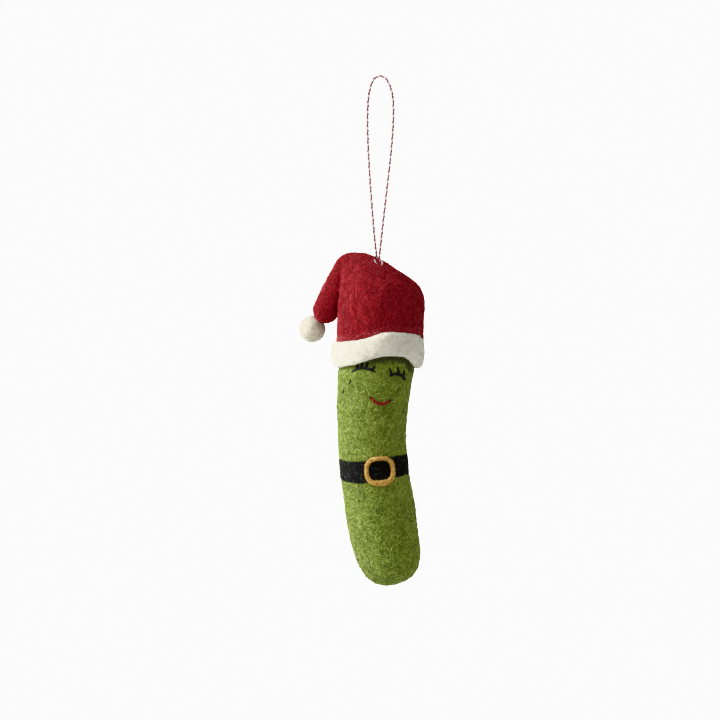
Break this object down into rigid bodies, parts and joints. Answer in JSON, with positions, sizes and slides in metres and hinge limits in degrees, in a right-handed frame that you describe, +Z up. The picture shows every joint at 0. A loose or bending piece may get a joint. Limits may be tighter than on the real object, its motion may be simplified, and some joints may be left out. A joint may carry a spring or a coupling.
{
  "type": "pickle ornament",
  "caption": "Felted pickle figure with a sewn smiling face, a buckled belt and a folded hat with a pompom, hung as a tree ornament by a loop of twine.",
  "frame": {"origin": "the point at the top of the twine loop where a twig, hook or nail carries the ornament", "axes": "+Z up along the hanging twine, -Y the front with the face, +X to the right of someone looking at it"},
  "size_m": [0.0629, 0.047, 0.255],
  "materials": {
    "twine": "twisted red and white cotton",
    "pale_thread": "twisted cotton thread",
    "undyed_wool": "needle-felted wool filling",
    "green_felt": "needle-felted wool, matt and fuzzy",
    "black_thread": "twisted thread, slight sheen",
    "red_thread": "twisted thread, slight sheen",
    "black_felt": "needle-felted wool, matt and fuzzy",
    "gold_felt": "needle-felted wool, matt and fuzzy",
    "red_felt": "needle-felted wool, matt and fuzzy",
    "cream_felt": "needle-felted wool, matt and fuzzy"
  },
  "bodies": {
    "loop": {"hanging_twine": "twine"},
    "knot": {"twine_knot": "twine"},
    "pickle": {"wool_core": "undyed_wool", "pickle_skin": "green_felt", "left_eyelid": "black_thread", "right_eyelid": "black_thread", "left_lashes": "black_thread", "right_lashes": "black_thread", "mouth": "red_thread", "belt": "black_felt", "buckle": "gold_felt", "hat_crown": "red_felt", "hat_band": "cream_felt", "hat_tacks": "pale_thread", "twine_stitches": "pale_thread"},
    "tail": {"hat_tail": "red_felt", "pompom_thread": "pale_thread"},
    "pompom": {"pompom": "cream_felt"}
  },
  "joints": [
    {"name": "swing", "type": "hinge", "parent": "loop", "child": "knot", "pos_m": [-0.0005, 0, -0.0899], "axis": [1, 0, 0], "range_deg": [-60, 60]},
    {"name": "spin", "type": "hinge", "parent": "knot", "child": "pickle", "pos_m": [-0.0005, 0, -0.0899], "axis": [0, 0, 1], "range_deg": [-180, 180]},
    {"name": "tail_lift", "type": "hinge", "parent": "pickle", "child": "tail", "pos_m": [-0.01975, 0, -0.09025], "axis": [0, 1, 0], "range_deg": [0, 50], "stiffness_Nm_per_rad": 0.003},
    {"name": "pompom_swing", "type": "hinge", "parent": "tail", "child": "pompom", "pos_m": [-0.02969, 0.00976, -0.12085], "axis": [0, 1, 0], "range_deg": [-20, 20], "stiffness_Nm_per_rad": 0.0005, "springref_deg": 1.46}
  ]
}
